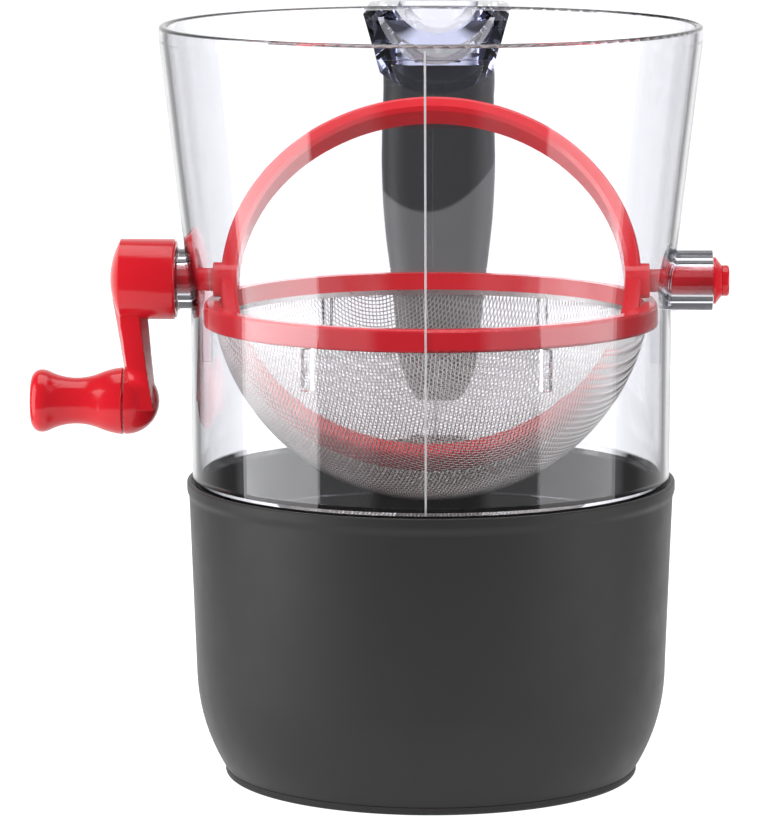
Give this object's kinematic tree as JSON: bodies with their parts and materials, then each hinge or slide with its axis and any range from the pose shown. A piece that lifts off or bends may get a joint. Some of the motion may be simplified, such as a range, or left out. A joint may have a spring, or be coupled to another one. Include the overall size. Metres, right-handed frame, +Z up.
{
  "type": "hand-cranked flour sifter",
  "caption": "Hand-cranked flour sifter: clear flared hopper with a wire bowl sieve and a crank-driven agitator hoop, standing in a deep dark base cup, with a handle behind.",
  "frame": {"origin": "centre of the foot ring's lower face, on the hopper's axis", "axes": "+Z up, the crank is on -X and the handle on +Y; the crank axis is parallel to X at z = 134.5 mm"},
  "size_m": [0.1882, 0.1934, 0.2033],
  "materials": {
    "charcoal": "satin moulded, fine texture",
    "foot": "matt soft rubber",
    "clear": "clear polished, faint lavender in thick sections",
    "grip": "satin moulded",
    "red": "glossy moulded",
    "red_knob": "glossy moulded",
    "wire_cloth": "woven bright wire",
    "steel": "brushed"
  },
  "bodies": {
    "base": {"base_cup": "charcoal", "foot_ring": "foot"},
    "hopper": {"body_shell": "clear", "grip_front": "grip", "grip_back": "grip", "sieve_frame": "red", "mesh_hem": "steel", "sieve_mesh": "wire_cloth"},
    "crank": {"agitator_hoop": "red", "crank_axle": "red", "pivot_pin": "red", "crank_arm": "red", "knob_screw": "steel"},
    "knob": {"crank_knob": "red_knob", "knob_cap": "red_knob"}
  },
  "joints": [
    {"name": "hopper_lift", "type": "slide", "parent": "base", "child": "hopper", "axis": [0, 0, 1], "range_m": [0, 0.06]},
    {"name": "crank_spin", "type": "hinge", "parent": "hopper", "child": "crank", "pos_m": [0, 0, 0.1345], "axis": [1, 0, 0], "continuous": true},
    {"name": "knob_spin", "type": "hinge", "parent": "crank", "child": "knob", "pos_m": [-0.095, 0, 0.1013], "axis": [1, 0, 0], "continuous": true}
  ]
}
